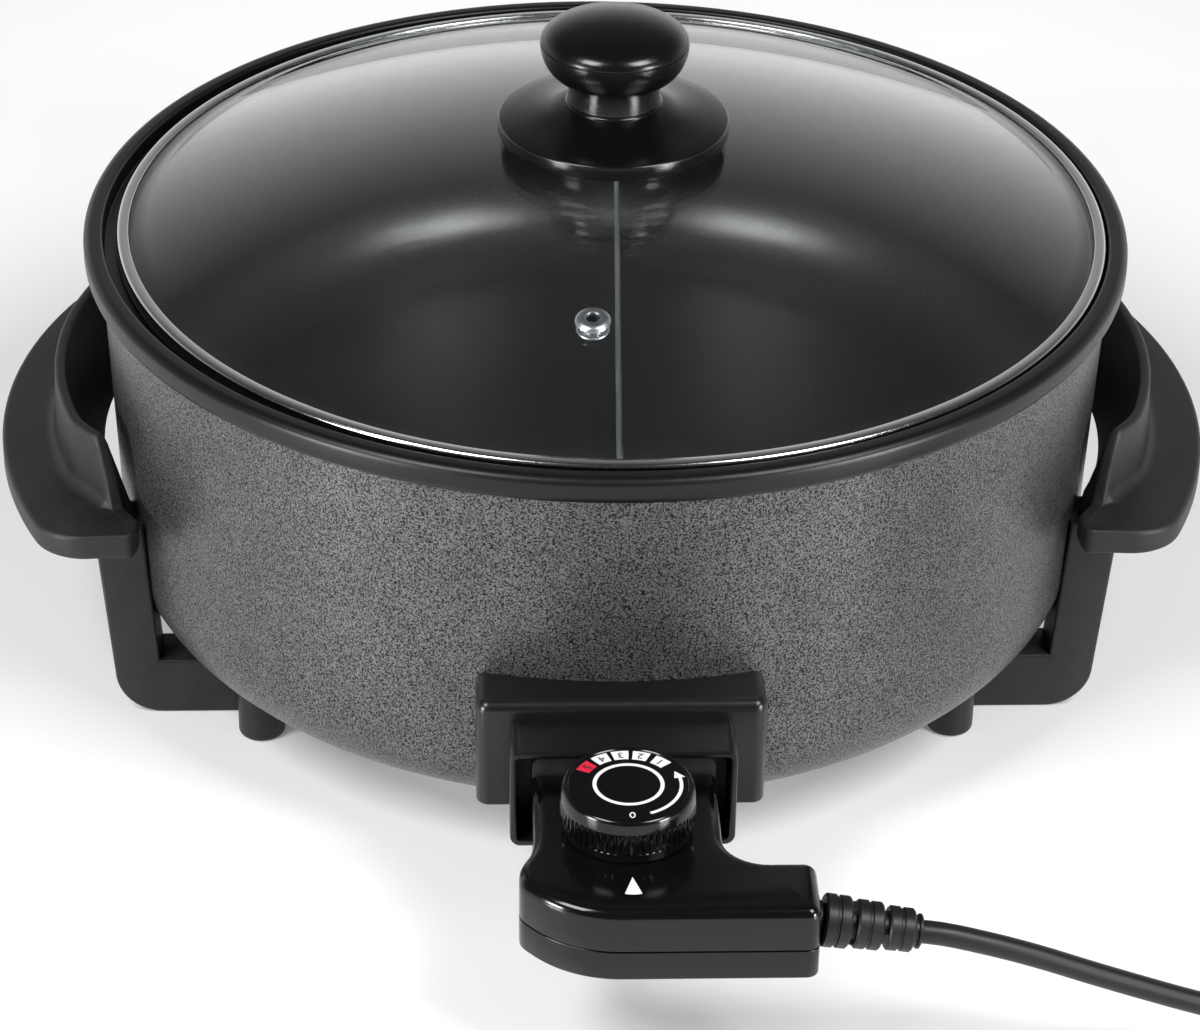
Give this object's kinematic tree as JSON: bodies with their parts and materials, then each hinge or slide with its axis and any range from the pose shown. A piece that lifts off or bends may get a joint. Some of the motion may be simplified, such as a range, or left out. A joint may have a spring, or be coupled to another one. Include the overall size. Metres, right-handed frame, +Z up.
{
  "type": "electric grill pan",
  "caption": "Round electric grill pan with a lift-off domed glass lid, an upright divider plate, side handles on legs, and a plug-in thermostat controller with a dial and mains cord.",
  "frame": {"origin": "on the table, under the middle of the object's box without its cord; the pan's axis stands behind it", "axes": "+Z up, -Y towards the controller and its dial, +X to the right when facing the dial"},
  "size_m": [0.576, 0.399, 0.2033],
  "materials": {
    "coated_pan": "wrinkle coat over aluminium",
    "heater_steel": "dull sheath",
    "zinc_steel": "zinc plated",
    "bright_steel": "polished",
    "divider_sheet": "satin sheet",
    "clear_glass": "clear tempered",
    "gloss_black": "gloss moulding",
    "matt_black": "fine grain moulding",
    "ceramic_cream": "unglazed ceramic",
    "brass": "plain",
    "rubber_black": "soft satin",
    "wire_red": "insulation"
  },
  "bodies": {
    "pan": {"pan_bowl": "coated_pan", "cooking_plate": "coated_pan", "heating_element": "heater_steel", "element_clips": "zinc_steel", "socket_bracket": "matt_black", "socket_collar": "matt_black", "terminal_block": "matt_black", "terminal_pins": "bright_steel", "earth_blade": "brass", "probe_sleeve": "zinc_steel", "weld_studs": "zinc_steel", "bracket_screws": "zinc_steel", "left_handle": "matt_black", "right_handle": "matt_black", "front_left_leg": "matt_black", "front_right_leg": "matt_black", "rear_left_leg": "matt_black", "rear_right_leg": "matt_black", "leg_screws": "zinc_steel", "front_left_foot": "rubber_black", "front_right_foot": "rubber_black", "rear_left_foot": "rubber_black", "rear_right_foot": "rubber_black"},
    "lid": {"lid_glass": "clear_glass", "lid_ring": "bright_steel", "vent_eyelet": "bright_steel", "knob_base": "gloss_black", "knob_grip": "gloss_black", "knob_seal": "rubber_black", "knob_washer": "zinc_steel", "knob_screw": "zinc_steel"},
    "divider": {"divider_plate": "divider_sheet"},
    "controller": {"controller_top": "gloss_black", "controller_bottom": "gloss_black", "plug_block": "matt_black", "contact_sockets": "brass", "probe": "bright_steel", "thermostat_base": "ceramic_cream", "bimetal_strip": "brass", "inner_wires": "wire_red", "shell_screws": "zinc_steel", "strain_relief": "rubber_black", "cord_lead": "rubber_black", "cord_coil": "rubber_black", "cord_tail": "rubber_black", "cord_tie": "rubber_black", "plug_body": "rubber_black", "plug_pins": "bright_steel", "plug_earth_clips": "bright_steel"},
    "dial": {"dial_knob": "gloss_black", "dial_shaft": "zinc_steel"}
  },
  "joints": [
    {"name": "lid_lift", "type": "slide", "parent": "pan", "child": "lid", "axis": [0, 0, 1], "range_m": [0, 0.15]},
    {"name": "divider_lift", "type": "slide", "parent": "pan", "child": "divider", "axis": [0, 0, 1], "range_m": [0, 0.012]},
    {"name": "controller_pull", "type": "slide", "parent": "pan", "child": "controller", "axis": [0, -1, 0], "range_m": [0, 0.1]},
    {"name": "dial_turn", "type": "hinge", "parent": "controller", "child": "dial", "pos_m": [0, -0.15795, 0.059], "axis": [0, 0, -1], "range_deg": [0, 240]}
  ]
}
